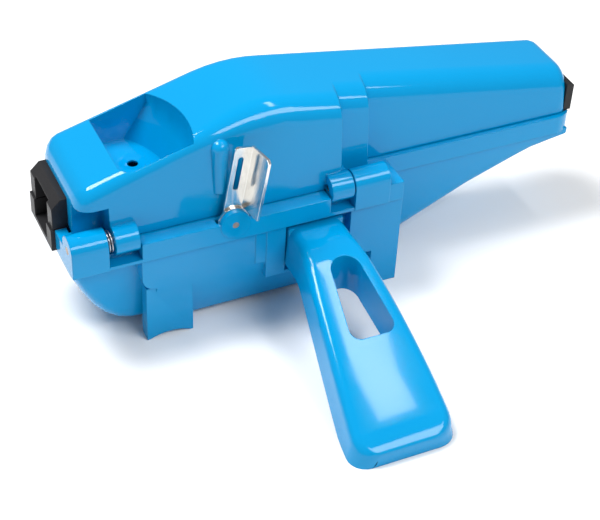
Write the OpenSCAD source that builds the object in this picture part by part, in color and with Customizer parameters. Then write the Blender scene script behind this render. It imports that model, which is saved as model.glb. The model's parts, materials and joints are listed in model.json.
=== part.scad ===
/* [Body] */
// Length of the rim where the two shells meet
rim_len = 279; // [276:1:290]
// Height of the parting plane above the floor
part_z = 62.3; // [61.5:0.1:63]
// Depth of the base rim below the parting plane
rim_h = 10.3; // [9:0.1:11.5]
// How far the rim stands in front of the hinge axis
rim_front = 6.6; // [6.2:0.1:7.4]
// Distance from the hinge axis to the back of the rim
rim_back = 62; // [61:0.5:63]
// Front of the narrow right end of the rim
rim_step = 14.3; // [12:0.1:15.5]
// Wall thickness of both shells
wall = 2.4; // [1.8:0.1:3]
// Gap between lid and base at the parting plane
part_gap = 0.4; // [0.2:0.05:0.8]

/* [Lid] */
// Front wall of the wide part of the lid
lid_front = 1.2; // [0.8:0.1:2]
// Front wall of the narrow right part of the lid
lid_step = 17; // [15:0.5:18]
// Back wall of the lid
lid_back = 60; // [58:0.5:61]
// Left end of the lid
lid_left = 6.5; // [5.5:0.5:8]
// Distance from the right end of the rim to the lid
lid_end_in = 2; // [1.5:0.5:6]
// Height of the top above the floor at the left end
lid_low_z = 88; // [85:1:92]
// Height of the top above the floor at the hump
lid_hump_z = 115; // [110:1:120]
// Height of the top above the floor at the right end
lid_end_z = 85; // [82:1:88]
// Distance from the left end of the rim to the hump
hump_x = 96; // [90:1:104]
// Lean of the lid walls from bottom to top
lid_lean = 3.5; // [2:0.5:4.5]
// Fillet along the top of the lid at its left end and back
lid_fillet = 7; // [5:0.5:9]
// Fillet along the front of the top from the hump on
hump_fillet = 12; // [9:0.5:13]
// Fillet round the ends of the lid
end_fillet = 7.5; // [5:0.5:9]

/* [Filler recess] */
// Left edge of the recess from the left end of the rim
recess_x = 29; // [26:1:31]
// Length of the recess at its rim
recess_len = 37; // [32:1:38]
// Front edge of the recess
recess_front = 6; // [5:0.5:8]
// Back edge of the recess
recess_back = 52; // [48:0.5:54]
// Height of the recess floor above the floor
recess_z = 80; // [78:1:83]
// Diameter of the filler hole
filler_d = 5.2; // [4:0.1:7]

/* [Guides] */
// Middle of the chain path behind the hinge axis
chain_y = 35; // [34:0.5:36]
// Width of the guides across the chain
guide_w = 33; // [28:0.5:34]
// Height of a guide half from the parting plane
guide_h = 12; // [10:0.5:13]
// Width of the chain slot
slot_w = 19; // [14:0.5:22]
// How far the lower left guide stands out of the rim
guide_out = 2; // [1.5:0.5:4]
// How far the upper right guide stands out of the lid
right_out = 1; // [0.5:0.5:2]

/* [Hinge and arm] */
// Height of the hinge axis above the floor
hinge_z = 64; // [63:0.5:65]
// Diameter of the hinge knuckles
knuckle_d = 14; // [13:0.2:14.4]
// Diameter of the hinge pins
hinge_pin_d = 4; // [3:0.1:5]
// Running clearance round pins and axles
run_gap = 0.05; // [0.02:0.01:0.08]
// Length of the left base knuckle
knuckle_a = 17.6; // [15:0.2:18.4]
// Gap for the spring between the left knuckles
spring_gap = 3.6; // [3.5:0.1:4.5]
// Length of a lid knuckle
knuckle_b = 11.5; // [10:0.5:13]
// Left end of the right lid knuckle
knuckle_c = 129.5; // [128:0.5:132]
// Length of the right base knuckle
knuckle_e = 18.5; // [16:0.5:20]
// Place of the arm pivot along the rim
arm_x = 79.5; // [76:0.5:83]
// Height of the arm pivot above the floor
arm_z = 61; // [60:0.5:62]
// Length of the arm above its pivot
arm_len = 40.5; // [36:0.5:44]
// Width of the arm panel
arm_w = 10; // [9:0.5:11]
// Depth of the bent wing
wing_w = 14; // [11:0.5:16]
// Thickness of the steel sheet
sheet = 1.5; // [1:0.1:1.6]
// Lean of the arm to the right
arm_lean = 9; // [4:1:12]

/* [Handle] */
// Middle of the tip of the handle along the rim
handle_x = 117; // [114:0.5:119]
// Width of the handle at its root
handle_root_w = 28.5; // [26:0.5:31]
// Width of the handle at its tip
handle_tip_w = 51; // [46:0.5:54]
// Reach of the tip in front of the hinge axis
handle_reach = 119.5; // [110:0.5:126]
// Height of the top of the handle at its root
handle_root_z = 49.5; // [46:0.5:50]
// Thickness at the root
handle_thick = 21; // [19:0.5:22]
// Height of the top of the handle at its tip
handle_tip_z = 9; // [7:0.5:11]

/* [Brushes] */
// Diameter over the bristles of a roller
brush_d = 25; // [23:0.5:25.5]
// Distance between the rollers along the chain
brush_pitch = 28; // [27:0.5:30]
// Place of the first roller along the rim
brush_x = 84; // [83:0.5:86]
// Length of a roller
brush_len = 26; // [22:0.5:28]
// Diameter of the roller axles
axle_d = 3; // [2.5:0.1:4]

/* [Hidden] */

// Colours of the pieces
blue = [0.0, 0.56, 0.86];
black = [0.13, 0.13, 0.14];
steel = [0.75, 0.75, 0.73];
pin_steel = [0.5, 0.42, 0.36];
foam = [0.25, 0.27, 0.3];
bristle = [0.9, 0.9, 0.88];

// Overrun of the cuts, and the gap between pieces that seat on each other
over = 1;
seat = 0.1;

// Right end of the lid
lid_right = rim_len - lid_end_in;

// Heights that both shells share
rim_z = part_z - rim_h;
lid_z = part_z + part_gap;

// Finger tab at the back of the lid
tab_x = 120;
tab_w = 26;
tab_out = 3.5;

// The origin is the middle of the outline, on the floor
origin_x = (max(rim_len, lid_right + right_out) - guide_out) / 2;
origin_y = (max(rim_back, lid_back + tab_out) - handle_reach) / 2;

// Where the front wall of the lid steps back
step_a_off = 9.5;
step_b_off = 27.5;
step_run = 3;
step_a_x = knuckle_c + step_a_off;
step_b_x = knuckle_c + step_b_off;
lid_mid = (lid_front + lid_step) / 2;
hump_round = 8;
fillet_run = 36;
corner_min = 2;

// Underside of the base: bow at the left, flat, then a tail that rises in two slopes
clear_z = 4;
bow_len = 40;
bow_lip = 2;
bow_power = 2.7;
tail_x = 183;
tail_z = 7;
tail_rise_share = 0.5;
knee_x = 221;
knee_z = tail_z + (knee_x - tail_x) * tail_rise_share;
knee_rise_share = 0.39;
hull_front = 2.5;
hull_set = 1.5;
hull_step = rim_step + hull_set;
hull_back = lid_back - over;
hull_fillet = 10;
hull_fillet_share = 0.8;
hull_lean = 3;
hull_end_in = 3;
corner_r = 11;

// Proud wall under the wide part of the rim
box_front = 4;
box_left = 34;
box_right = 168;
box_z = 32;
box_round = 7;
box_toe = 5;
block_left = 96.5;
block_z = 22;
block_proud = 0.8;
block_d = 16;
rib_x = 91;
rib_proud = 0.4;
foot_left = 36;
foot_w = 23.5;
foot_arch = 2.4;
foot_depth = 7;
foot_set = 1;
back_foot_depth = 6;
leg_left = 154;

// Pocket that takes the root of the handle
pocket_x = 106.5;
pocket_w = 34.5;
pocket_gap = 1.2;
pocket_depth = 6;
pocket_z = 24;
pocket_y = pocket_depth - box_front - block_proud;

// Rows of points
arc_n = 6;
lid_pitch = 7;
hull_pitch = 20;
tail_pitch = 9;
round_fn = 48;
bore_fn = 32;

function smooth(t) = let (u = min(1, max(0, t))) u * u * (3 - 2 * u);
function ramp(x, a, b) = smooth((x - a) / (b - a));
function mix(a, b, t) = a + (b - a) * t;
function end_in(d, r) = d >= r ? 0 : r - sqrt(max(0, r * r - (r - d) * (r - d)));
function soft_min(a, b, k) = let (h = max(k - abs(a - b), 0) / k) min(a, b) - h * h * k / 4;
function arc(cy, cz, r, from, to, n = arc_n) =
  [for (i = [0:n]) let (a = mix(from, to, i / n)) [cy + r * cos(a), cz + r * sin(a)]];
function at_x(x, points) = [for (p = points) [x, p[0], p[1]]];

// Skin over rings of points that run the same way round
module skin(rings) {
  n = len(rings[0]);
  m = len(rings);
  sides = [
    for (j = [0:m - 2], i = [0:n - 1])
      let (a = j * n + i, b = j * n + (i + 1) % n)
        each [[a, b, b + n], [a, b + n, a + n]]
  ];
  first = [[for (i = [n - 1:-1:0]) i]];
  last = [[for (i = [0:n - 1]) (m - 1) * n + i]];
  polyhedron([for (r = rings) each r], concat(first, sides, last), convexity = 8);
}

module place() {
  translate([-origin_x, -origin_y, 0]) children();
}

module along_x(run) {
  rotate([90, 0, 90]) linear_extrude(run) children();
}

module x_rod(d, run, fn = round_fn) {
  rotate([0, 90, 0]) cylinder(d = d, h = run, $fn = fn);
}

module y_rod(d, run, fn = round_fn) {
  rotate([-90, 0, 0]) cylinder(d = d, h = run, $fn = fn);
}

// Brush frames: places that both shells use for their posts
frame_side = 3;
frame_t = 2;
frame_gap = 0.5;
frame_h = 18;
brush_part = 0.6;
frame_len = 2 * brush_pitch + brush_d + 2 * frame_side;
frame_x = brush_x - brush_d / 2 - frame_side;
frame_in = chain_y - brush_len / 2 - frame_gap - frame_t;
frame_out = chain_y + brush_len / 2 + frame_gap;
axle_off = brush_d / 2 + brush_part;
low_axle_z = part_z - axle_off;
high_axle_z = part_z + axle_off;
upper_frame_z = high_axle_z - frame_h / 2;
lower_frame_z = low_axle_z - frame_h / 2;
post_d = 6;
post_in = 4;
post_xs = [frame_x + post_in, frame_x + frame_len - post_in];
post_ys = [frame_in + frame_t / 2, frame_out + frame_t / 2];

// Sponges behind the last roller
sponge_x = 182;
sponge_len = 26;
sponge_z = 36;
sponge_h = part_z - frame_gap - sponge_z;
sponge_seat = 18;

// Lid: top line, front line and section at a place along the rim
function lid_top(x) = soft_min(
  lid_low_z + (x - lid_left) * (lid_hump_z - lid_low_z) / (hump_x - lid_left),
  lid_hump_z - (x - hump_x) * (lid_hump_z - lid_end_z) / (lid_right - hump_x),
  hump_round);
function lid_front_at(x) = lid_front + (lid_step - lid_front) / 2
  * (ramp(x, step_a_x - step_run / 2, step_a_x + step_run / 2)
    + ramp(x, step_b_x - step_run / 2, step_b_x + step_run / 2));
function lid_section(x, inset, low) =
  let (
    d = min(x - lid_left, lid_right - x) - inset,
    e = end_in(max(0, d), end_fillet),
    f = lid_front_at(x) + inset + e,
    b = lid_back - inset - e,
    t = lid_top(x) - inset - e,
    r = max(mix(lid_fillet, hump_fillet, ramp(x, hump_x - fillet_run, hump_x)) - inset, corner_min),
    s = max(lid_fillet - inset, corner_min),
    k = lid_lean * (t - lid_z) / (lid_hump_z - lid_z)
  ) at_x(x, concat(
    [[f, low]],
    arc(f + k + r, t - r, r, 180, 90),
    arc(b - k - s, t - s, s, 90, 0),
    [[b, low]]));
function lid_stations(inset) =
  let (a = lid_left + inset, b = lid_right - inset, run = end_fillet)
    concat(
      [for (i = [0:4]) a + run * (1 - cos(90 * i / 4))],
      [for (x = [a + run + lid_pitch / 2:lid_pitch:step_a_x - step_run]) x],
      [for (i = [0:4]) step_a_x + step_run * (i / 4 - 1 / 2)],
      [for (x = [step_a_x + step_run:lid_pitch:step_b_x - step_run]) x],
      [for (i = [0:4]) step_b_x + step_run * (i / 4 - 1 / 2)],
      [for (x = [step_b_x + step_run:lid_pitch:b - run - lid_pitch / 3]) x],
      [for (i = [4:-1:0]) b - run * (1 - cos(90 * i / 4))]);
module lid_solid(inset, low) {
  skin([for (x = lid_stations(inset)) lid_section(x, inset, low)]);
}

// Filler recess: sharp left and back edges, right side bowed in plan and sloping
recess_slope = 9;
recess_rise = 18;
recess_round = 6;
bow_r = 54.5;
bow_in = 16;
dish_d = 15;
dish_depth = 1.4;
filler_in_x = 14.5;
filler_in_y = 27.5;
filler_x = recess_x + filler_in_x;
filler_y = recess_front + filler_in_y;
module recess_cut(grow = 0) {
  right = recess_x + recess_len;
  left = recess_x - grow;
  front = recess_front - grow;
  low = recess_z - grow;
  rise_r = bow_r - recess_slope + grow;
  intersection() {
    translate([0, 0, low]) linear_extrude(lid_hump_z) {
      translate([left + recess_round, front]) square([right - left, recess_back + grow - front]);
      translate([left, front + recess_round])
        square([right - left, recess_back + grow - front - recess_round]);
      translate([left + recess_round, front + recess_round]) circle(r = recess_round, $fn = round_fn);
    }
    translate([right - bow_r, recess_front + bow_in, low])
      rotate_extrude($fn = 2 * round_fn)
        polygon([
          [0, 0], [rise_r, 0], [bow_r + grow, recess_rise], [bow_r + grow, lid_hump_z], [0, lid_hump_z]
        ]);
  }
}

// Room in the lid for the left base knuckle
knuckle_clear = 12;
clear_top = 80;
module knuckle_room(grow = 0) {
  translate([lid_left - over, -over, lid_z - over])
    cube([
      knuckle_a + spring_gap - lid_left + over + grow, knuckle_clear + over + grow,
      clear_top - lid_z + over + grow
    ]);
}

module lid_knuckle(x) {
  translate([x, 0, hinge_z]) x_rod(knuckle_d, knuckle_b);
  translate([x, 0, lid_z]) cube([knuckle_b, lid_step - lid_fillet, knuckle_d / 2]);
}
module lid_bore(x) {
  translate([x - over, 0, hinge_z]) x_rod(hinge_pin_d + 2 * run_gap, knuckle_b + 2 * over, bore_fn);
}

// Half round rest beside the arm
rest_d = 9;
rest_off = 3.9;
rest_up = 13;
rest_tall = 23;
module arm_rest() {
  translate([arm_x - rest_off, lid_front + lid_lean, part_z + rest_up]) {
    cylinder(d = rest_d, h = rest_tall, $fn = round_fn);
    translate([0, 0, rest_tall]) sphere(d = rest_d, $fn = round_fn);
  }
}

// Posts under the top of the lid for the brush frame and the sponge
module lid_posts() {
  for (x = post_xs, y = post_ys)
    translate([x, y, upper_frame_z + frame_h]) cylinder(d = post_d, h = lid_hump_z, $fn = bore_fn);
  translate([sponge_x + post_in, chain_y - post_d, lid_z + sponge_h])
    cube([sponge_len - 2 * post_in, 2 * post_d, lid_hump_z]);
}

guide_rise = 4.5;
guide_lip = 0.8;
guide_top_z = part_z + guide_h + guide_rise;
module lid_end_slots() {
  y0 = chain_y - guide_w / 2;
  cut = wall + guide_lip + seat + over;
  for (x = [lid_left - over, lid_right + over - cut])
    translate([x, y0, lid_z - over]) cube([cut, guide_w, guide_top_z - lid_z + over]);
}

module upper_cover() {
  color(blue) place() difference() {
    union() {
      difference() {
        union() {
          lid_solid(0, lid_z);
          arm_rest();
          translate([tab_x, lid_back - wall, lid_z]) cube([tab_w, tab_out + wall, wall]);
        }
        difference() {
          lid_solid(wall, lid_z - over);
          recess_cut(wall);
          knuckle_room(wall);
          lid_posts();
        }
        recess_cut();
        knuckle_room();
      }
      lid_knuckle(knuckle_a + spring_gap);
      lid_knuckle(knuckle_c);
    }
    translate([filler_x, filler_y, recess_z - wall - over])
      cylinder(d = filler_d, h = 2 * wall, $fn = bore_fn);
    translate([filler_x, filler_y, recess_z - dish_depth])
      cylinder(d1 = filler_d, d2 = dish_d, h = dish_depth + seat, $fn = round_fn);
    lid_end_slots();
    lid_bore(knuckle_a + spring_gap);
    lid_bore(knuckle_c);
  }
}

// Base hull
function hull_low(x) = max(
  clear_z + (x < bow_len ? (rim_z - clear_z - bow_lip) * pow(max(0, 1 - x / bow_len), bow_power) : 0),
  min(tail_z + (x - tail_x) * tail_rise_share, knee_z + (x - knee_x) * knee_rise_share));
hull_turn = 4;
hull_turn_end = 2;
function hull_front_at(x) = mix(
  hull_front, hull_step, ramp(x, box_right - hull_turn, box_right + hull_turn_end));
function hull_section(x, inset, top) =
  let (
    z = hull_low(x) + inset,
    f = hull_front_at(x) + inset,
    b = hull_back - inset,
    r = max(over, min(hull_fillet, (rim_z - z) * hull_fillet_share)),
    // The outside is upright at its two flat ends
    upright = inset > 0 ? 1 : min(1, (min(x, rim_len - x) - hull_end_in) / hull_lean),
    k = hull_lean * upright * (rim_z - z) / rim_z
  ) at_x(x, concat(
    inset > 0 ? [[b, top], [b, rim_z]] : [[b, top]],
    arc(b - k - r, z + r, r, 0, -90),
    arc(f + k + r, z + r, r, -90, -180),
    inset > 0 ? [[f, rim_z], [f, top]] : [[f, top]]));
function hull_stations(a, b) = concat(
  [for (i = [0:7]) a + (bow_len - a) * pow(i / 7, 1.5)],
  [for (x = [bow_len + hull_pitch:hull_pitch:box_right - 2 * hull_turn]) x],
  [for (i = [0:4]) box_right - hull_turn + (hull_turn + hull_turn_end) * i / 4],
  [for (x = [tail_x - hull_turn:tail_pitch:knee_x - hull_turn]) x],
  [for (x = [knee_x:tail_pitch:b - hull_turn]) x],
  [b]);
module hull_solid(inset, top) {
  stations = hull_stations(hull_end_in + inset, rim_len - hull_end_in - inset);
  skin([for (x = stations) hull_section(x, inset, top)]);
}

module rim_outline() {
  translate([0, -rim_front]) square([box_right, rim_front + rim_back - corner_r]);
  translate([corner_r, rim_back - corner_r]) square([rim_len - 2 * corner_r, corner_r]);
  translate([0, rim_step + corner_r]) square([rim_len, rim_back - rim_step - 2 * corner_r]);
  translate([0, rim_step]) square([rim_len - corner_r, rim_back - rim_step - corner_r]);
  for (p = [
    [corner_r, rim_back], [rim_len - corner_r, rim_back], [rim_len - corner_r, rim_step + 2 * corner_r]
  ])
    translate([p[0], p[1] - corner_r]) circle(r = corner_r, $fn = round_fn);
}

module front_wall() {
  translate([0, hull_front + over, 0]) rotate([90, 0, 0]) linear_extrude(box_front + hull_front + over) {
    translate([box_left + box_round, box_z]) square([box_right - box_left - box_round, rim_z - box_z + over]);
    translate([box_left, box_z + box_round]) square([box_round, rim_z - box_z - box_round + over]);
    translate([box_left + box_round, box_z + box_round]) circle(r = box_round, $fn = round_fn);
  }
  // Wall that leans in below it
  inner = hull_front + 2 * hull_fillet;
  translate([box_left + box_round, 0, 0]) along_x(leg_left - box_left)
    polygon([
      [-box_front, box_z + over], [-box_front, box_z], [box_toe, clear_z], [inner, clear_z],
      [inner, box_z + over]
    ]);
  // Thicker stretch beside the handle block
  translate([rib_x, -box_front - rib_proud, box_z])
    cube([block_left - rib_x + over, block_d, rim_z - box_z + over]);
}

module feet() {
  difference() {
    translate([foot_left, foot_set - box_front, 0]) cube([foot_w, foot_depth, box_z]);
    translate([foot_left + foot_w / 2, -box_front, foot_arch - foot_w])
      y_rod(2 * foot_w, foot_depth + 2 * over);
  }
  translate([leg_left, -box_front - block_proud, 0])
    cube([box_right - leg_left + over, foot_depth, rim_z + over]);
  for (x = [foot_left, box_right - foot_w])
    translate([x, hull_back - hull_fillet - back_foot_depth, 0]) cube([foot_w, back_foot_depth, box_z]);
}

module handle_block() {
  translate([block_left, -box_front - block_proud, block_z])
    cube([leg_left - block_left + over, block_d, rim_z - block_z + over]);
}
module handle_pocket() {
  translate([pocket_x, -rim_front - over, pocket_z])
    cube([pocket_w, rim_front + over + pocket_y, rim_z - pocket_gap - pocket_z]);
}

// Screws that hold the handle go in from the tank
screw_d = 5;
screw_head_d = 8.5;
screw_head_h = 3.4;
screw_bite = 12;
screw_down = 8;
screw_pitch = 11;
screw_zs = [rim_z - screw_down, rim_z - screw_down - screw_pitch];
pad_y = 7;
pad_up = 5;
root_shift = 4.7;
root_x = handle_x + root_shift;

notch_up = 1.8;
notch_z = rim_z + notch_up;
notch_gap = 0.8;
module knuckle_notch(x, run) {
  translate([x, 0, hinge_z]) x_rod(knuckle_d + 2 * notch_gap, run);
  translate([x, -rim_front - over, notch_z]) cube([run, rim_front + over, hinge_z - notch_z + knuckle_d]);
}

// Pivot of the arm: boss in front, washer, arm, then the lug behind
boss_r = 7.5;
boss_t = 2.6;
boss_proud = 0.3;
washer_d = 16;
washer_t = 1.2;
arm_play = 0.3;
lug_t = 1.6;
lug_r = 4.5;
arm_r = 5.6;
arm_pin_d = 3.2;
pin_seat = 2;
boss_y = -rim_front - boss_proud;
washer_y = boss_y + boss_t;
arm_y = washer_y + washer_t + run_gap;
slot_back = arm_y + sheet + arm_play;
slot_side = 0.6;
module arm_boss() {
  translate([arm_x, boss_y, arm_z]) y_rod(2 * boss_r, boss_t);
}
module arm_lug() {
  translate([arm_x, slot_back, arm_z]) y_rod(2 * lug_r, lug_t);
}
module arm_slot() {
  half = washer_d / 2 + slot_side;
  translate([arm_x - half, washer_y, arm_z - half]) cube([2 * half, slot_back - washer_y, rim_h + half]);
}

module base_knuckles() {
  for (s = [[0, knuckle_a], [knuckle_c + knuckle_b + notch_gap, knuckle_e]])
    translate([s[0], 0, 0]) {
      translate([0, 0, hinge_z]) x_rod(knuckle_d, s[1]);
      translate([0, -knuckle_d / 2, rim_z]) cube([s[1], knuckle_d / 2 + hull_front, hinge_z - rim_z]);
    }
}

module tank_posts() {
  for (x = post_xs, y = post_ys)
    translate([x, y, 0]) cylinder(d = post_d, h = lower_frame_z, $fn = bore_fn);
  translate([sponge_x, chain_y - sponge_seat / 2, 0]) cube([sponge_len, sponge_seat, sponge_z]);
  // Walls behind the notches, and decks where the lid stands back from the tank
  back_y = knuckle_d / 2 + notch_gap + wall;
  for (s = [
    [0, knuckle_a + spring_gap + knuckle_b + notch_gap], [knuckle_c - notch_gap, knuckle_b + 2 * notch_gap]
  ])
    translate([s[0] - wall, 0, rim_z]) cube([s[1] + 2 * wall, back_y, rim_h + over]);
  for (s = [
    [0, knuckle_a + spring_gap, knuckle_clear],
    [step_a_x - step_run, step_b_x - step_a_x + step_run, lid_mid],
    [step_b_x - step_run, box_right + hull_turn_end - step_b_x + step_run, lid_step]
  ])
    translate([s[0], 0, part_z - wall]) cube([s[1], s[2] + wall, wall + over]);
  // Pad behind the pocket for the handle screws
  translate([pocket_x, -box_front, screw_zs[1] - screw_head_d])
    cube([pocket_w, box_front + pad_y, screw_zs[0] - screw_zs[1] + screw_head_d + pad_up]);
}

module lower_housing() {
  color(blue) place() difference() {
    union() {
      difference() {
        union() {
          translate([0, 0, rim_z]) linear_extrude(rim_h) rim_outline();
          hull_solid(0, rim_z + over);
          front_wall();
          handle_block();
          feet();
        }
        difference() {
          hull_solid(wall, part_z + over);
          tank_posts();
        }
        // Hollow behind the proud wall
        translate([box_left + wall, wall - box_front, box_z + wall])
          cube([rib_x - box_left - 2 * wall, hull_front + box_front, rim_z - box_z - 2 * wall]);
        knuckle_notch(knuckle_a, spring_gap + knuckle_b + notch_gap);
        knuckle_notch(knuckle_c - notch_gap, knuckle_b + 2 * notch_gap);
        handle_pocket();
        arm_slot();
      }
      arm_boss();
      arm_lug();
      base_knuckles();
    }
    base_bores();
    base_end_slots();
  }
}

module base_bores() {
  translate([-over, 0, hinge_z]) x_rod(hinge_pin_d, knuckle_a + 2 * over, bore_fn);
  translate([knuckle_c + knuckle_b, 0, hinge_z]) x_rod(hinge_pin_d, knuckle_e + 2 * over, bore_fn);
  translate([arm_x, boss_y - over, arm_z]) y_rod(arm_pin_d, over + slot_back + pin_seat - boss_y, bore_fn);
  for (z = screw_zs)
    translate([root_x, pocket_y - over, z]) y_rod(screw_d + 2 * seat, pad_y - pocket_y + 2 * over, bore_fn);
}

module base_end_slots() {
  y0 = chain_y - guide_w / 2;
  cut = hull_end_in + wall + 2 * over;
  for (x = [-over, rim_len - hull_end_in - wall - over])
    translate([x, y0, part_z - guide_h]) cube([cut, guide_w, guide_h + over]);
}

// Handle: sections along its length, flat at the root, then sloping to the floor
handle_n = 16;
handle_bend = 25;
handle_bend_round = 5;
handle_sole = 98;
handle_start = box_front + block_proud + arm_play;
flare_start = 18;
flare_power = 1.5;
handle_draft = 1.1;
tip_draft = 1.7;
handle_edge = 5;
tip_round = 10;
tip_drop = 2;
root_back = pocket_y;
hole_start = 30;
hole_end = 70;
hole_x = 123.4;
hole_w_a = 15.6;
hole_w_b = 22.5;
hole_round = 5;
function handle_top(t) = soft_min(
  handle_root_z,
  handle_root_z - (t - handle_bend) * (handle_root_z - handle_tip_z) / (handle_reach - handle_bend),
  handle_bend_round);
function handle_low(t) = min(1, max(0, (handle_sole - t) / (handle_sole - handle_bend)))
  * (handle_root_z - handle_thick);
function flare(t) = max(0, (t - flare_start) / (handle_reach - flare_start));
function handle_half(t) = mix(handle_root_w, handle_tip_w, 1 - pow(1 - flare(t), flare_power)) / 2;
function handle_mid(t) = handle_x + root_shift * (1 - pow(flare(t), 2));
function handle_ring(t, half, low, top, edge) =
  let (c = handle_mid(t), o = mix(handle_draft, tip_draft, flare(t)))
  [for (p = concat(
    [[c - half - o, low]],
    [for (i = [0:4]) let (a = 180 - 90 * i / 4)
      [c - half + edge + edge * cos(a), top - edge + edge * sin(a)]],
    [for (i = [0:4]) let (a = 90 - 90 * i / 4)
      [c + half - edge + edge * cos(a), top - edge + edge * sin(a)]],
    [[c + half + o, low]])) [p[0], -t, p[1]]];
module handle_grip() {
  ts = [for (i = [0:handle_n]) mix(handle_start, handle_reach - tip_round, i / handle_n)];
  tip = [for (i = [1:6]) let (a = 90 * i / 6) [handle_reach - tip_round * (1 - sin(a)), 1 - cos(a)]];
  skin(concat(
    [for (t = ts) handle_ring(t, handle_half(t), handle_low(t), handle_top(t), handle_edge)],
    [for (p = tip) let (half = handle_half(p[0]) - tip_round * p[1])
      handle_ring(p[0], half, 0, handle_top(p[0]) - tip_drop * p[1], handle_edge)]));
}
module handle_hole() {
  end_y = -hole_end;
  translate([0, 0, -over]) linear_extrude(handle_root_z + 2 * over) {
    translate([hole_x, -hole_start - hole_w_a / 2]) circle(d = hole_w_a, $fn = round_fn);
    polygon([
      [hole_x - hole_w_a / 2, -hole_start - hole_w_a / 2],
      [hole_x + hole_w_a / 2, -hole_start - hole_w_a / 2],
      [hole_x + hole_w_b / 2, end_y + hole_round],
      [hole_x + hole_w_b / 2 - hole_round, end_y],
      [hole_x - hole_w_b / 2 + hole_round, end_y],
      [hole_x - hole_w_b / 2, end_y + hole_round]
    ]);
    for (s = [-1, 1])
      translate([hole_x + s * (hole_w_b / 2 - hole_round), end_y + hole_round])
        circle(r = hole_round, $fn = bore_fn);
  }
}
module handle() {
  color(blue) place() difference() {
    union() {
      // Root that seats in the pocket
      translate([root_x - handle_root_w / 2, -handle_start - over, handle_root_z - handle_thick])
        cube([handle_root_w, handle_start + over + root_back, handle_thick - seat]);
      handle_grip();
    }
    handle_hole();
    for (z = screw_zs)
      translate([root_x, root_back - screw_bite, z]) y_rod(screw_d, screw_bite + over, bore_fn);
  }
}

module handle_screws() {
  color(steel) place()
    for (z = screw_zs)
      translate([root_x, root_back - screw_bite, z]) difference() {
        union() {
          y_rod(screw_d, screw_bite + pad_y - root_back, bore_fn);
          translate([0, screw_bite + pad_y - root_back, 0]) y_rod(screw_head_d, screw_head_h, bore_fn);
        }
        translate([0, screw_bite + pad_y - root_back + screw_head_h / 2, 0])
          rotate([-90, 0, 0]) cylinder(d = screw_d, h = screw_head_h, $fn = 6);
      }
}

// Hanger arm: pierced panel with a wing bent square to it
wing_low = 7.7;
wing_chamfer = 1.6;
wing_splay = 11;
panel_round = 2.3;
panel_slot_w = 2.8;
panel_slot_len = 18;
panel_slot_in = 2.3;
panel_slot_down = 5;
module hanger_arm() {
  color(steel) place()
    translate([arm_x, arm_y, arm_z]) rotate([0, arm_lean, 0]) difference() {
      union() {
        y_rod(2 * arm_r, sheet);
        translate([-arm_r, 0, 0]) cube([arm_w, sheet, arm_len - panel_round]);
        translate([panel_round - arm_r, 0, 0]) cube([arm_w - panel_round, sheet, arm_len]);
        translate([panel_round - arm_r, 0, arm_len - panel_round]) y_rod(2 * panel_round, sheet, bore_fn);
        translate([arm_w - arm_r, sheet, 0]) rotate([90, 0, wing_splay - 90])
          linear_extrude(sheet)
            polygon([
              [0, wing_low], [wing_w, wing_low], [wing_w, arm_len - wing_chamfer],
              [wing_w - wing_chamfer, arm_len], [0, arm_len]
            ]);
      }
      translate([0, -over, 0]) y_rod(arm_pin_d + 2 * run_gap, sheet + 2 * over, bore_fn);
      slot_low = arm_len - panel_slot_down - panel_slot_len + panel_slot_w / 2;
      translate([panel_slot_in - arm_r, -over, slot_low]) {
        cube([panel_slot_w, sheet + 2 * over, panel_slot_len - panel_slot_w]);
        for (z = [0, panel_slot_len - panel_slot_w])
          translate([panel_slot_w / 2, 0, z]) y_rod(panel_slot_w, sheet + 2 * over, bore_fn);
      }
    }
}
module arm_washer() {
  color(steel) place() translate([arm_x, washer_y, arm_z]) difference() {
    y_rod(washer_d, washer_t);
    translate([0, -over, 0]) y_rod(arm_pin_d, washer_t + 2 * over, bore_fn);
  }
}
module arm_pivot_pin() {
  color(pin_steel) place() translate([arm_x, boss_y, arm_z])
    y_rod(arm_pin_d, slot_back + pin_seat - boss_y, bore_fn);
}

module left_hinge_pin() {
  color(pin_steel) place() translate([0, 0, hinge_z])
    x_rod(hinge_pin_d, knuckle_a + spring_gap + knuckle_b - over, bore_fn);
}
module right_hinge_pin() {
  color(pin_steel) place() translate([knuckle_c + over, 0, hinge_z])
    x_rod(hinge_pin_d, knuckle_b + notch_gap + knuckle_e - over, bore_fn);
}

// Spring round the left pin, one unbroken tube by formula
spring_wire = 0.8;
spring_coil_d = 10;
spring_turns = 2;
spring_sides = 6;
spring_steps = 8;
spring_pitch = (spring_gap - 2 * seat - spring_wire) / spring_turns;
function spring_at(i) = let (a = 360 * i / spring_steps) [
  knuckle_a + seat + spring_wire / 2 + spring_pitch * a / 360,
  spring_coil_d / 2 * cos(a),
  hinge_z + spring_coil_d / 2 * sin(a)];
function spring_ring(i) = let (a = 360 * i / spring_steps, c = spring_at(i)) [
  for (k = [0:spring_sides - 1]) let (b = -360 * k / spring_sides) [
    c[0] + spring_wire / 2 * cos(b),
    c[1] + spring_wire / 2 * sin(b) * cos(a),
    c[2] + spring_wire / 2 * sin(b) * sin(a)]];
// Least gap from one turn to the next, measured on the rings
spring_self_gap = min([
  for (i = [0:(spring_turns - 1) * spring_steps], j = [i + spring_steps / 2:spring_turns * spring_steps])
    norm(spring_at(i) - spring_at(j)) - spring_wire
]);
module hinge_spring() {
  color(steel) place() skin([for (i = [0:spring_turns * spring_steps]) spring_ring(i)]);
}

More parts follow.
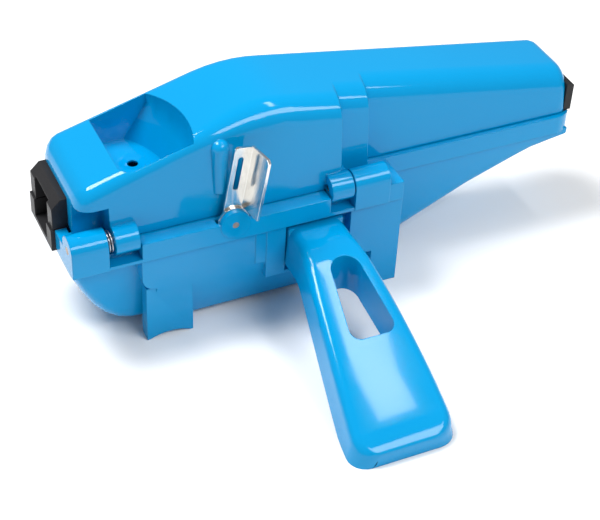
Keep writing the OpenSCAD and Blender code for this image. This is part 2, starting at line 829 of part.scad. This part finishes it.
// Guides: split blocks with a chain slot, the upper ones sloping on top
guide_chamfer = 4.5;
right_chamfer = 1;
low_right_in = 2.5;
guide_floor = 2.4;
guide_under = 0.5;
module guide_profile(out, inner, low, bevel) {
  if (low)
    polygon([
      [-out, part_z - guide_h + seat], [inner, part_z - guide_h + seat],
      [inner, part_z - seat], [-out, part_z - seat]
    ]);
  else
    polygon([
      [-out, lid_z], [inner, lid_z], [inner, guide_top_z - 4 * seat],
      [bevel - out, guide_top_z - 4 * seat], [-out, guide_top_z - 4 * seat - bevel]
    ]);
}
module guide_block(out, inner, low, bevel = guide_chamfer) {
  y0 = chain_y - guide_w / 2 + seat;
  cut_h = guide_top_z - guide_chamfer + guide_under - part_z;
  difference() {
    translate([0, y0 + guide_w - 2 * seat, 0]) rotate([90, 0, 0])
      linear_extrude(guide_w - 2 * seat) guide_profile(out, inner, low, bevel);
    translate([-out - over, chain_y - slot_w / 2, low ? part_z - guide_h + guide_floor : part_z - over])
      cube([out + inner + 2 * over, slot_w, low ? guide_h : cut_h + over]);
  }
}
low_inner = hull_end_in + wall + guide_lip;
module lower_left_guide() {
  color(black) place() guide_block(guide_out, low_inner, true);
}
module lower_right_guide() {
  color(black) place() translate([rim_len, 0, 0]) mirror([1, 0, 0])
    guide_block(-low_right_in, low_inner, true);
}
module upper_left_guide() {
  color(black) place() guide_block(guide_out - over, lid_left + wall + guide_lip, false);
}
module upper_right_guide() {
  color(black) place() translate([rim_len, 0, 0]) mirror([1, 0, 0])
    guide_block(
      lid_right + right_out - rim_len, rim_len - lid_right + wall + guide_lip, false, right_chamfer);
}

// Brush frames: two plates joined by bars, with a row of axles
module brush_frame(z, axle_z) {
  span = frame_out - frame_in + frame_t;
  difference() {
    union() {
      for (y = [frame_in, frame_out])
        translate([frame_x, y, z]) cube([frame_len, frame_t, frame_h]);
      for (x = [frame_x, frame_x + frame_len - frame_t])
        translate([x, frame_in, z]) cube([frame_t, span, frame_h / 2]);
    }
    for (i = [0:2])
      translate([brush_x + i * brush_pitch, frame_in - over, axle_z]) y_rod(axle_d, span + 2 * over, bore_fn);
  }
}
module axles(axle_z) {
  for (i = [0:2])
    translate([brush_x + i * brush_pitch, frame_in, axle_z])
      y_rod(axle_d, frame_out - frame_in + frame_t, bore_fn);
}
module lower_brush_frame() {
  color(black) place() brush_frame(lower_frame_z, low_axle_z);
}
module upper_brush_frame() {
  color(black) place() brush_frame(upper_frame_z, high_axle_z);
}
module lower_axles() {
  color(steel) place() axles(low_axle_z);
}
module upper_axles() {
  color(steel) place() axles(high_axle_z);
}

// Brush roller: hub with rows of tufts standing out of it
hub_d = 10;
tuft_rows = 4;
tufts = 10;
tuft_w = 1.8;
module brush_roller(i, axle_z) {
  row_pitch = brush_len / tuft_rows;
  translate([brush_x + i * brush_pitch, chain_y - brush_len / 2, axle_z]) difference() {
    union() {
      y_rod(hub_d, brush_len);
      for (r = [0:tuft_rows - 1], k = [0:tufts - 1])
        translate([0, (r + 1 / 2) * row_pitch, 0]) rotate([0, 360 * (k + (r % 2) / 2) / tufts, 0])
          translate([-tuft_w / 2, -tuft_w / 2, hub_d / 2 - tuft_w / 2])
            cube([tuft_w, tuft_w, (brush_d - hub_d + tuft_w) / 2]);
    }
    translate([0, -over, 0]) y_rod(axle_d + 2 * run_gap, brush_len + 2 * over, bore_fn);
  }
}
module lower_brush_1() {
  color(bristle) place() brush_roller(0, low_axle_z);
}
module lower_brush_2() {
  color(bristle) place() brush_roller(1, low_axle_z);
}
module lower_brush_3() {
  color(bristle) place() brush_roller(2, low_axle_z);
}
module upper_brush_1() {
  color(bristle) place() brush_roller(0, high_axle_z);
}
module upper_brush_2() {
  color(bristle) place() brush_roller(1, high_axle_z);
}
module upper_brush_3() {
  color(bristle) place() brush_roller(2, high_axle_z);
}

module sponge_block(z) {
  translate([sponge_x, chain_y - brush_len / 2, z]) cube([sponge_len, brush_len, sponge_h]);
}
module lower_sponge() {
  color(foam) place() sponge_block(sponge_z);
}
module upper_sponge() {
  color(foam) place() sponge_block(lid_z);
}

// Magnet on the floor of the tank, in its ring
magnet_d = 18;
magnet_h = 5;
magnet_x = brush_x + brush_pitch;
// It sits in front of the fillet of the floor
magnet_y = chain_y - magnet_h / 2 - seat;
module sump_magnet() {
  color(steel) place() translate([magnet_x, magnet_y, clear_z + wall + seat])
    cylinder(d = magnet_d, h = magnet_h, $fn = round_fn);
}
module magnet_ring() {
  color(black) place() translate([magnet_x, magnet_y, clear_z + wall + seat]) difference() {
    cylinder(d = magnet_d + 2 * wall, h = magnet_h, $fn = round_fn);
    translate([0, 0, -over]) cylinder(d = magnet_d + 2 * seat, h = magnet_h + 2 * over, $fn = round_fn);
  }
}

echo(spring_self_gap = spring_self_gap);

lower_housing();
upper_cover();
handle();
handle_screws();
hanger_arm();
arm_washer();
arm_pivot_pin();
left_hinge_pin();
right_hinge_pin();
hinge_spring();
lower_left_guide();
lower_right_guide();
upper_left_guide();
upper_right_guide();
lower_brush_frame();
upper_brush_frame();
lower_axles();
upper_axles();
lower_brush_1();
lower_brush_2();
lower_brush_3();
upper_brush_1();
upper_brush_2();
upper_brush_3();
lower_sponge();
upper_sponge();
sump_magnet();
magnet_ring();
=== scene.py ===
import json
import math

import bmesh
import bpy
from mathutils import Matrix, Vector, noise


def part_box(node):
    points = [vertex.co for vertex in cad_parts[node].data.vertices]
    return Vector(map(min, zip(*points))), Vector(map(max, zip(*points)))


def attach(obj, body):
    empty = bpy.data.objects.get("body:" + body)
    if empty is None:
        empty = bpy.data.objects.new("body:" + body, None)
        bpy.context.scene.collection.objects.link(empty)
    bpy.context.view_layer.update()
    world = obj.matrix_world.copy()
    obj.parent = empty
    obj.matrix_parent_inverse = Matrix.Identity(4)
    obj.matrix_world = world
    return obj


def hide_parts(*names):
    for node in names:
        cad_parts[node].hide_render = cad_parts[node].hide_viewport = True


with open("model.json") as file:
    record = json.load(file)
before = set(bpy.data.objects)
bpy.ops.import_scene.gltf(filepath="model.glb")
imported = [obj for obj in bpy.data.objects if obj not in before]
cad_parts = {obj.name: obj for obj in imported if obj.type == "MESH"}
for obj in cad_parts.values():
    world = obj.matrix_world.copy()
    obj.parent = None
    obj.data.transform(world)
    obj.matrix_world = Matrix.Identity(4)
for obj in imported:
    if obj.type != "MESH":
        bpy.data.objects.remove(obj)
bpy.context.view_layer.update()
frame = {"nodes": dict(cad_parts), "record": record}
nodes = frame["nodes"]

# The row frame's origin, in the source's own frame in mm
OX, OY = 138.5, -28.0
HINGE_Z = 64

# Camera, fitted to the photograph: the corner where the hinge axis starts falls on ANCHOR_PX
IMAGE_W, IMAGE_H = 600, 520
CAMERA_AZ, CAMERA_EL, CAMERA_ROLL = 26.3, 39.4, 3.06
FOCAL_PX = 1555
SENSOR_MM = 36
CAMERA_DEPTH = 700
ANCHOR_PX = (67, 251)

# Joining up of the moulded shells, in metres and degrees
JOIN_DIST = 2e-6
FLAT_ANGLE = 0.2
SHELL_CREASE = 32
CAD_CREASE = 30
NORMAL_WEIGHT = 80

# Spring on the left hinge pin, in mm
SPRING_TURNS, SPRING_PITCH = 2, 1.3
SPRING_START_X = 18.1
WIRE_RADIUS, COIL_RADIUS = 0.4, 5.0
STEPS_PER_TURN, WIRE_SIDES = 64, 14

# Sponges, in metres
SPONGE_ROUNDING, ROUNDING_SEGMENTS = 0.0016, 4
SPONGE_LONG_EDGE, SPONGE_CUTS = 0.006, 11
SPONGE_DENT, DENTS_PER_METRE = 0.00035, 420

FLOOR_HALF = 6.0
# The world's strength as light, and as the camera sees it
WORLD_LIGHT, WORLD_SEEN = 0.3, 1.0


def place(x, y, z):
    """A point of the source's own frame in mm, in the row frame in metres"""
    return Vector(((x - OX) / 1000, (y - OY) / 1000, z / 1000))


def add_camera():
    az, el, roll = (math.radians(v) for v in (CAMERA_AZ, CAMERA_EL, CAMERA_ROLL))
    fwd = Vector((math.sin(az) * math.cos(el), math.cos(az) * math.cos(el), -math.sin(el)))
    right = fwd.cross(Vector((0, 0, 1))).normalized()
    up = right.cross(fwd)
    c, s = math.cos(roll), math.sin(roll)
    right, up = c * right + s * up, -s * right + c * up
    ray = (right * ((ANCHOR_PX[0] - IMAGE_W / 2) / FOCAL_PX)
           + up * ((IMAGE_H / 2 - ANCHOR_PX[1]) / FOCAL_PX) + fwd)
    pos = Vector((0, 0, HINGE_Z)) - ray * CAMERA_DEPTH
    data = bpy.data.cameras.new("camera")
    data.sensor_width, data.lens = SENSOR_MM, SENSOR_MM * FOCAL_PX / IMAGE_W
    data.clip_start, data.clip_end = 0.01, 50
    cam = bpy.data.objects.new("camera", data)
    m = Matrix((right, up, -fwd)).transposed().to_4x4()
    m.translation = place(*pos)
    cam.matrix_world = m
    bpy.context.scene.collection.objects.link(cam)
    bpy.context.scene.camera = cam


def new_material(name):
    mat = bpy.data.materials.new(name)
    mat.use_nodes = True
    nt = mat.node_tree
    return mat, nt, nt.nodes["Principled BSDF"]


def node(nt, kind, **values):
    """A new shader node, with its inputs or its own settings given by name"""
    n = nt.nodes.new(kind)
    for k, v in values.items():
        if k in n.inputs:
            n.inputs[k].default_value = v
        else:
            setattr(n, k, v)
    return n


def coords(nt, scale=(1, 1, 1)):
    """Object coordinates, stretched by scale"""
    tex = node(nt, "ShaderNodeTexCoord")
    m = node(nt, "ShaderNodeMapping")
    m.inputs["Scale"].default_value = scale
    nt.links.new(tex.outputs["Object"], m.inputs["Vector"])
    return m.outputs["Vector"]


def noise_at(nt, scale, detail=2.0, stretch=(1, 1, 1)):
    n = node(nt, "ShaderNodeTexNoise", Scale=scale, Detail=detail)
    nt.links.new(coords(nt, stretch), n.inputs["Vector"])
    return n.outputs["Fac"]


def ramp(nt, fac, low, high, a, b):
    """Maps fac between low and high to the values a and b"""
    m = node(nt, "ShaderNodeMapRange")
    for i, v in enumerate((low, high, a, b), 1):
        m.inputs[i].default_value = v
    nt.links.new(fac, m.inputs[0])
    return m.outputs[0]


def tint(nt, bsdf, fac, one, two):
    """Mixes the colours one and two by fac into the base colour"""
    mix = node(nt, "ShaderNodeMix", data_type="RGBA")
    mix.inputs[6].default_value = (*one, 1)
    mix.inputs[7].default_value = (*two, 1)
    nt.links.new(fac, mix.inputs[0])
    nt.links.new(mix.outputs[2], bsdf.inputs["Base Color"])


def bump(nt, bsdf, height, distance, strength=1.0, rounding=0.0):
    """A bump on top of edges that are rounded by the radius rounding"""
    b = node(nt, "ShaderNodeBump", Strength=strength, Distance=distance)
    nt.links.new(height, b.inputs["Height"])
    if rounding:
        bevel = node(nt, "ShaderNodeBevel", samples=6)
        bevel.inputs["Radius"].default_value = rounding
        nt.links.new(bevel.outputs[0], b.inputs["Normal"])
    nt.links.new(b.outputs[0], bsdf.inputs["Normal"])


def plastic(name, one, two, rough, spread, coat, grain, depth, rounding):
    """Moulded plastic: slow colour drift, patchy gloss and a fine skin"""
    mat, nt, p = new_material(name)
    drift = noise_at(nt, scale=9, detail=3)
    tint(nt, p, ramp(nt, drift, 0.3, 0.7, 0, 1), one, two)
    patches = noise_at(nt, scale=60, detail=4)
    nt.links.new(ramp(nt, patches, 0.3, 0.7, rough - spread, rough + spread),
                 p.inputs["Roughness"])
    bump(nt, p, noise_at(nt, grain, detail=2), depth, rounding=rounding)
    p.inputs["Coat Weight"].default_value = coat
    p.inputs["Coat Roughness"].default_value = 0.03
    p.inputs["Specular IOR Level"].default_value = 0.2
    return mat


def metal(name, one, two, rough, spread, stretch, depth, rounding):
    """Rolled or drawn steel: grain along one way, with dull patches"""
    mat, nt, p = new_material(name)
    p.inputs["Metallic"].default_value = 1.0
    grain = noise_at(nt, scale=900, detail=3, stretch=stretch)
    patches = noise_at(nt, scale=120, detail=4)
    tint(nt, p, ramp(nt, patches, 0.35, 0.65, 0, 1), one, two)
    nt.links.new(ramp(nt, grain, 0.3, 0.7, rough - spread, rough + spread),
                 p.inputs["Roughness"])
    bump(nt, p, grain, depth, strength=0.6, rounding=rounding)
    return mat


def bristle_material():
    mat, nt, p = new_material("nylon_bristle")
    patches = noise_at(nt, scale=700, detail=3)
    tint(nt, p, ramp(nt, patches, 0.35, 0.65, 0, 1), (0.86, 0.86, 0.83), (0.66, 0.66, 0.62))
    p.inputs["Roughness"].default_value = 0.38
    p.inputs["Subsurface Weight"].default_value = 0.15
    p.inputs["Subsurface Radius"].default_value = (0.001, 0.001, 0.001)
    bump(nt, p, noise_at(nt, scale=4000, detail=2), distance=1e-4)
    return mat


def foam_material():
    mat, nt, p = new_material("sponge")
    v = node(nt, "ShaderNodeTexVoronoi", Scale=900.0)
    nt.links.new(coords(nt), v.inputs["Vector"])
    cells = v.outputs["Distance"]
    tint(nt, p, ramp(nt, cells, 0.1, 0.7, 0, 1), (0.02, 0.022, 0.025), (0.09, 0.095, 0.1))
    p.inputs["Roughness"].default_value = 0.95
    bump(nt, p, cells, distance=4e-4)
    return mat


MATERIALS = {
    "blue_plastic": plastic(
        "blue_plastic", (0.0, 0.27, 0.575), (0.0, 0.285, 0.595),
        rough=0.07, spread=0.015, coat=0.2, grain=500, depth=2e-6, rounding=0.0007),
    "black_plastic": plastic(
        "black_plastic", (0.018, 0.018, 0.02), (0.026, 0.026, 0.028),
        rough=0.42, spread=0.07, coat=0.0, grain=1800, depth=3e-5, rounding=0.0005),
    "bright_steel": metal(
        "bright_steel", (0.8, 0.79, 0.76), (0.7, 0.69, 0.66),
        rough=0.2, spread=0.06, stretch=(1, 1, 0.04), depth=8e-6, rounding=0.0003),
    "plain_steel": metal(
        "plain_steel", (0.62, 0.62, 0.61), (0.5, 0.5, 0.5),
        rough=0.3, spread=0.08, stretch=(0.1, 1, 1), depth=8e-6, rounding=0.0002),
    "pin_steel": metal(
        "pin_steel", (0.44, 0.35, 0.29), (0.3, 0.22, 0.17),
        rough=0.4, spread=0.1, stretch=(1, 1, 1), depth=1.5e-5, rounding=0.0003),
    "magnet": metal(
        "magnet", (0.3, 0.3, 0.31), (0.22, 0.22, 0.23),
        rough=0.45, spread=0.08, stretch=(1, 1, 1), depth=1e-5, rounding=0.0003),
    "nylon_bristle": bristle_material(),
    "sponge": foam_material(),
}

SLOTS = {s["node"]: s["material_slot"] for s in frame["record"]["subparts"]}
for name, o in nodes.items():
    o.data.materials.clear()
    o.data.materials.append(MATERIALS[SLOTS[name]])


def piece(name, mesh, body, slot, *stands_for):
    """An object of the mesh that rides on the body and stands for CAD nodes"""
    mesh.materials.clear()
    mesh.materials.append(MATERIALS[slot])
    o = bpy.data.objects.new(name, mesh)
    bpy.context.scene.collection.objects.link(o)
    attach(o, body)
    if stands_for:
        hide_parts(*stands_for)
    return o


def smooth(mesh, crease):
    """Smooth shading that stays sharp at edges over crease degrees"""
    mesh.shade_smooth()
    mesh.set_sharp_from_angle(angle=math.radians(crease))


def moulded(node_name, body):
    """The node's own faces, joined along their edges, so that its curves shade as one surface"""
    bm = bmesh.new()
    bm.from_mesh(nodes[node_name].data)
    bmesh.ops.remove_doubles(bm, verts=bm.verts, dist=JOIN_DIST)
    bmesh.ops.dissolve_limit(bm, angle_limit=math.radians(FLAT_ANGLE), verts=bm.verts,
                             edges=bm.edges)
    me = bpy.data.meshes.new(node_name + "_shell")
    bm.to_mesh(me)
    bm.free()
    if "custom_normal" in me.attributes:
        me.attributes.remove(me.attributes["custom_normal"])
    o = piece(node_name + "_shell", me, body, SLOTS[node_name], node_name)
    smooth(me, SHELL_CREASE)
    # Normals that follow the large faces
    w = o.modifiers.new("normals", "WEIGHTED_NORMAL")
    w.keep_sharp = True
    w.weight = NORMAL_WEIGHT


def add_spring():
    """The spring on the left hinge pin, wound finer than its solid"""
    steps = STEPS_PER_TURN * SPRING_TURNS
    verts = []
    for i in range(steps + 1):
        a = 2 * math.pi * SPRING_TURNS * i / steps
        middle = place(SPRING_START_X + SPRING_PITCH * SPRING_TURNS * i / steps,
                       COIL_RADIUS * math.cos(a), HINGE_Z + COIL_RADIUS * math.sin(a))
        # Each ring lies in a plane through the pin's axis, as the wire leans only a little
        along, out = Vector((1, 0, 0)), Vector((0, math.cos(a), math.sin(a)))
        for k in range(WIRE_SIDES):
            b = -2 * math.pi * k / WIRE_SIDES
            verts.append(middle + WIRE_RADIUS / 1000 * (math.cos(b) * along + math.sin(b) * out))
    n = WIRE_SIDES
    faces = [[i * n + k, i * n + (k + 1) % n, (i + 1) * n + (k + 1) % n, (i + 1) * n + k]
             for i in range(steps) for k in range(n)]
    faces += [list(range(n))[::-1], [steps * n + k for k in range(n)]]
    me = bpy.data.meshes.new("spring_coil")
    me.from_pydata(verts, [], faces)
    me.shade_smooth()
    piece("spring_coil", me, "base", "plain_steel", "hinge_spring")


def add_sponge(node_name, body):
    """A soft block with rounded edges and an uneven skin"""
    lo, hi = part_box(node_name)
    size, mid = hi - lo, (hi + lo) / 2
    bm = bmesh.new()
    bmesh.ops.create_cube(bm, size=1.0)
    bmesh.ops.scale(bm, vec=size, verts=bm.verts)
    bmesh.ops.bevel(bm, geom=bm.edges[:], offset=SPONGE_ROUNDING, segments=ROUNDING_SEGMENTS,
                    profile=0.5, affect="EDGES")
    long_edges = [e for e in bm.edges if e.calc_length() > SPONGE_LONG_EDGE]
    bmesh.ops.subdivide_edges(bm, edges=long_edges, cuts=SPONGE_CUTS, use_grid_fill=True)
    bmesh.ops.triangulate(bm, faces=[f for f in bm.faces if len(f.verts) > 4])
    for v in bm.verts:
        d = SPONGE_DENT * (0.5 + 0.5 * noise.noise(v.co * DENTS_PER_METRE))
        v.co -= v.co.normalized() * d
        v.co += mid
    me = bpy.data.meshes.new(node_name + "_foam")
    bm.to_mesh(me)
    bm.free()
    me.shade_smooth()
    piece(node_name + "_foam", me, body, "sponge", node_name)


def add_stage():
    """The plain pale floor"""
    me = bpy.data.meshes.new("floor")
    s = FLOOR_HALF
    me.from_pydata([(-s, -s, 0), (s, -s, 0), (s, s, 0), (-s, s, 0)], [], [(0, 1, 2, 3)])
    mat, nt, p = new_material("floor")
    tint(nt, p, noise_at(nt, scale=3, detail=2), (0.92, 0.92, 0.92), (0.93, 0.93, 0.93))
    p.inputs["Roughness"].default_value = 0.9
    p.inputs["Specular IOR Level"].default_value = 0.0
    me.materials.append(mat)
    floor = bpy.data.objects.new("floor", me)
    bpy.context.scene.collection.objects.link(floor)


def lamp(name, at, to, size, watts, size_y=None):
    """A soft box at one point, turned to another"""
    data = bpy.data.lights.new(name, "AREA")
    data.shape = "RECTANGLE"
    data.size, data.size_y = size, size_y or size
    data.energy = watts
    o = bpy.data.objects.new(name, data)
    o.location = at
    o.rotation_mode = "QUATERNION"
    o.rotation_quaternion = (Vector(to) - Vector(at)).to_track_quat("-Z", "Y")
    bpy.context.scene.collection.objects.link(o)


def add_light():
    lamp("key", at=(-0.5, 0.35, 1.2), to=(0, 0, 0.03), size=0.5, watts=18)
    lamp("front", at=(0.42, -0.75, 0.98), to=(0, 0, 0.08), size=0.75, watts=9, size_y=0.4)
    lamp("strip", at=(0.42, 0.05, 1.2), to=(-0.02, 0, 0.05), size=0.5, watts=1.5, size_y=0.07)
    world = bpy.data.worlds.new("world")
    bpy.context.scene.world = world
    world.use_nodes = True
    nt = world.node_tree
    bg = nt.nodes["Background"]
    bg.inputs["Color"].default_value = (1, 1, 1, 1)
    path = node(nt, "ShaderNodeLightPath")
    strength = ramp(nt, path.outputs["Is Camera Ray"], 0, 1, WORLD_LIGHT, WORLD_SEEN)
    nt.links.new(strength, bg.inputs["Strength"])


moulded("lower_housing", "base")
moulded("upper_cover", "lid")
moulded("handle", "base")
add_spring()
add_sponge("lower_sponge", "base")
add_sponge("upper_sponge", "lid")

# The CAD nodes that still show
for o in nodes.values():
    if not o.hide_render and "custom_normal" not in o.data.attributes:
        smooth(o.data, CAD_CREASE)

add_camera()
add_stage()
add_light()
bpy.context.scene.view_settings.view_transform = "Standard"
